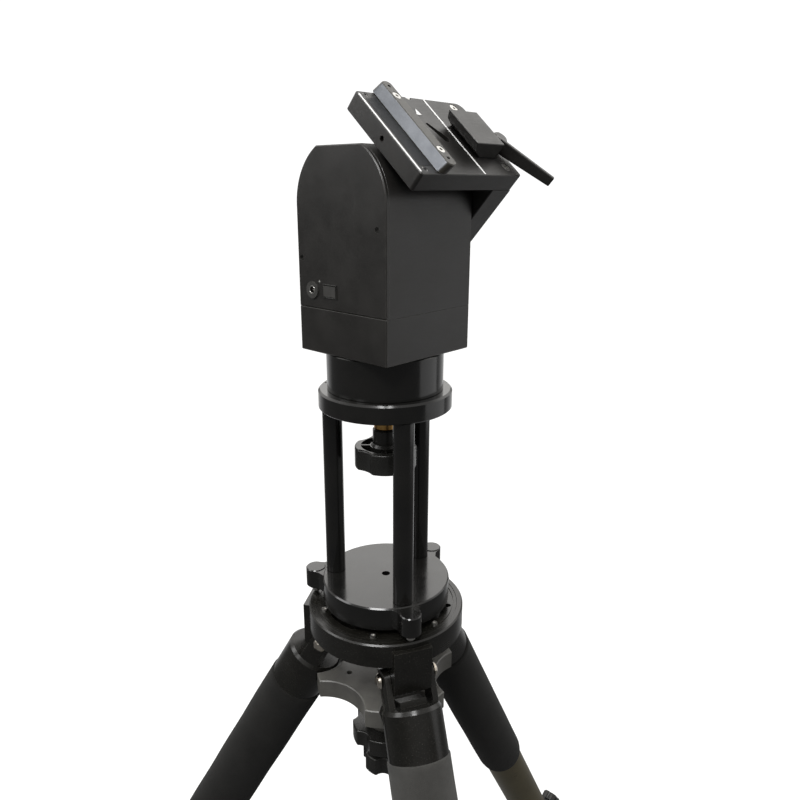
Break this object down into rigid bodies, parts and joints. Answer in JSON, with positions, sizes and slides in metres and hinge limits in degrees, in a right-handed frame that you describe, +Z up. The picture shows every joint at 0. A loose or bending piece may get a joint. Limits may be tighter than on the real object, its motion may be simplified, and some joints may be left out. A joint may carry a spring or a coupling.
{
  "type": "star tracker mount",
  "caption": "Alt-azimuth tracking head with a tilting clamp saddle for a dovetail bar, on a post pier and a folding, telescoping tripod.",
  "frame": {"origin": "on the azimuth axis, at floor level", "axes": "+Z up along the azimuth axis; +X along the altitude axis, from the socket side of the head towards the saddle arm; -Y is the plain front of the head"},
  "size_m": [0.7926, 0.8895, 1.3356],
  "materials": {
    "satin_black": "anodised satin black, fine bead blast",
    "gloss_black": "anodised gloss black, turned",
    "cast_black": "black powder coat on a casting",
    "knob_black": "moulded black, semi gloss",
    "clamp_plastic": "moulded black",
    "bare_aluminium": "grey blue anodised, drawn",
    "steel_screws": "bright zinc",
    "nickel_pins": "nickel plated",
    "steel_rod": "turned",
    "brass": "turned, slightly dulled",
    "foam": "closed-cell foam, matte",
    "leg_tube": "satin grey brown",
    "foot_rubber": "moulded rubber",
    "drive_steel": "ground",
    "drive_aluminium": "machined",
    "board_green": "solder mask",
    "switch_plastic": "moulded black"
  },
  "bodies": {
    "hub": {"hub_drum": "cast_black", "hub_disc": "cast_black", "hub_screws": "steel_screws", "leg_pins": "nickel_pins", "pier_base": "gloss_black", "pier_post_1": "gloss_black", "pier_post_2": "gloss_black", "pier_post_3": "gloss_black", "pier_ring": "gloss_black", "lock_collar": "brass", "base_housing": "gloss_black", "azimuth_ring_gear": "drive_steel"},
    "lock": {"lock_knob": "knob_black"},
    "spreader": {"spreader_star": "cast_black"},
    "spreader_nut": {"spreader_nut": "knob_black"},
    "centre_bolt": {"centre_knob": "knob_black", "centre_rod": "steel_rod"},
    "head": {"head_case": "satin_black", "head_foot_case": "satin_black", "side_cover": "satin_black", "cover_screws": "knob_black", "power_socket": "switch_plastic", "control_board": "board_green", "drive_motors": "drive_steel", "altitude_housing": "drive_aluminium", "azimuth_flex_cup": "drive_steel"},
    "azimuth_wave": {"azimuth_wave_plug": "drive_steel"},
    "altitude_wave": {"altitude_wave_plug": "drive_steel"},
    "switch": {"power_switch": "switch_plastic"},
    "saddle": {"saddle_plate": "satin_black", "saddle_arm": "satin_black", "fixed_jaw": "bare_aluminium", "saddle_screws": "steel_screws", "altitude_flex_cup": "drive_steel"},
    "jaw": {"jaw_block": "satin_black"},
    "lever": {"clamp_lever": "satin_black"},
    "level_1": {"levelling_screw_1": "steel_screws"},
    "leg_1": {"leg_yoke_1": "cast_black", "upper_tube_1": "leg_tube", "foam_grip_1": "foam", "leg_clamp_1": "clamp_plastic"},
    "lower_leg_1": {"lower_tube_1": "leg_tube", "rubber_foot_1": "foot_rubber"},
    "leg_lock_1": {"leg_knob_1": "knob_black"},
    "level_2": {"levelling_screw_2": "steel_screws"},
    "leg_2": {"leg_yoke_2": "cast_black", "upper_tube_2": "leg_tube", "foam_grip_2": "foam", "leg_clamp_2": "clamp_plastic"},
    "lower_leg_2": {"lower_tube_2": "leg_tube", "rubber_foot_2": "foot_rubber"},
    "leg_lock_2": {"leg_knob_2": "knob_black"},
    "level_3": {"levelling_screw_3": "steel_screws"},
    "leg_3": {"leg_yoke_3": "cast_black", "upper_tube_3": "leg_tube", "foam_grip_3": "foam", "leg_clamp_3": "clamp_plastic"},
    "lower_leg_3": {"lower_tube_3": "leg_tube", "rubber_foot_3": "foot_rubber"},
    "leg_lock_3": {"leg_knob_3": "knob_black"}
  },
  "joints": [
    {"name": "azimuth_turn", "type": "hinge", "parent": "hub", "child": "head", "pos_m": [0, 0, 1.039], "axis": [0, 0, 1], "continuous": true},
    {"name": "azimuth_wave_spin", "type": "hinge", "parent": "head", "child": "azimuth_wave", "pos_m": [0, 0, 1.039], "axis": [0, 0, 1], "continuous": true},
    {"name": "altitude_tilt", "type": "hinge", "parent": "head", "child": "saddle", "pos_m": [0, 0, 1.227], "axis": [1, 0, 0], "range_deg": [-131.7, 48.3]},
    {"name": "altitude_wave_spin", "type": "hinge", "parent": "head", "child": "altitude_wave", "pos_m": [0, 0, 1.227], "axis": [1, 0, 0], "range_deg": [-6600, 2450]},
    {"name": "clamp_swing", "type": "hinge", "parent": "saddle", "child": "lever", "pos_m": [0.085, -0.06834, 1.28116], "axis": [0, -0.6652, 0.7466], "range_deg": [-15, 80]},
    {"name": "jaw_slide", "type": "slide", "parent": "saddle", "child": "jaw", "axis": [1, 0, 0], "range_m": [-0.0011, 0.0051]},
    {"name": "switch_rock", "type": "hinge", "parent": "head", "child": "switch", "pos_m": [-0.058, 0.0148, 1.1452], "axis": [0, 0, 1], "range_deg": [-6, 6]},
    {"name": "lock_turn", "type": "hinge", "parent": "hub", "child": "lock", "pos_m": [0, 0, 0.9725], "axis": [0, 0, 1], "continuous": true},
    {"name": "level_1_turn", "type": "hinge", "parent": "hub", "child": "level_1", "pos_m": [-0.03991, -0.07505, 0.789], "axis": [0, 0, 1], "range_deg": [-360, 360]},
    {"name": "level_2_turn", "type": "hinge", "parent": "hub", "child": "level_2", "pos_m": [0.08495, 0.00297, 0.789], "axis": [0, 0, 1], "range_deg": [-360, 360]},
    {"name": "level_3_turn", "type": "hinge", "parent": "hub", "child": "level_3", "pos_m": [-0.04504, 0.07208, 0.789], "axis": [0, 0, 1], "range_deg": [-360, 360]},
    {"name": "leg_1_fold", "type": "hinge", "parent": "hub", "child": "leg_1", "pos_m": [-0.03427, -0.06445, 0.726], "axis": [0.8829, -0.4695, 0], "range_deg": [0, 11]},
    {"name": "leg_1_extend", "type": "slide", "parent": "leg_1", "child": "lower_leg_1", "axis": [-0.2276, -0.4281, -0.8746], "range_m": [0, 0.3]},
    {"name": "leg_1_lock", "type": "hinge", "parent": "leg_1", "child": "leg_lock_1", "pos_m": [-0.22076, -0.4152, 0.10011], "axis": [-0.4106, -0.7722, 0.4848], "range_deg": [0, 540]},
    {"name": "leg_2_fold", "type": "hinge", "parent": "hub", "child": "leg_2", "pos_m": [0.07296, 0.00255, 0.726], "axis": [-0.0349, 0.9994, 0], "range_deg": [0, 11]},
    {"name": "leg_2_extend", "type": "slide", "parent": "leg_2", "child": "lower_leg_2", "axis": [0.4845, 0.0169, -0.8746], "range_m": [0, 0.3]},
    {"name": "leg_2_lock", "type": "hinge", "parent": "leg_2", "child": "leg_lock_2", "pos_m": [0.46996, 0.01641, 0.10011], "axis": [0.8741, 0.0305, 0.4848], "range_deg": [0, 540]},
    {"name": "leg_3_fold", "type": "hinge", "parent": "hub", "child": "leg_3", "pos_m": [-0.03868, 0.06191, 0.726], "axis": [-0.848, -0.5299, 0], "range_deg": [0, 11]},
    {"name": "leg_3_extend", "type": "slide", "parent": "leg_3", "child": "lower_leg_3", "axis": [-0.2569, 0.4111, -0.8746], "range_m": [0, 0.3]},
    {"name": "leg_3_lock", "type": "hinge", "parent": "leg_3", "child": "leg_lock_3", "pos_m": [-0.24919, 0.39879, 0.10011], "axis": [-0.4635, 0.7417, 0.4848], "range_deg": [0, 540]},
    {"name": "spreader_drop", "type": "slide", "parent": "hub", "child": "spreader", "axis": [0, 0, 1], "range_m": [-0.0354, 0]},
    {"name": "nut_turn", "type": "hinge", "parent": "spreader", "child": "spreader_nut", "pos_m": [0, 0, 0.609], "axis": [0, 0, 1], "continuous": true},
    {"name": "centre_turn", "type": "hinge", "parent": "spreader", "child": "centre_bolt", "pos_m": [0, 0, 0.569], "axis": [0, 0, 1], "continuous": true}
  ],
  "couplings": [
    {"joint": "azimuth_wave_spin", "follows": "azimuth_turn", "ratio": 50},
    {"joint": "altitude_wave_spin", "follows": "altitude_tilt", "ratio": 50},
    {"joint": "jaw_slide", "follows": "clamp_swing", "m_per_rad": 0.003581},
    {"joint": "leg_2_fold", "follows": "leg_1_fold", "ratio": 1},
    {"joint": "leg_3_fold", "follows": "leg_1_fold", "ratio": 1},
    {"joint": "spreader_drop", "follows": "leg_1_fold", "m_per_rad": -0.18376}
  ]
}
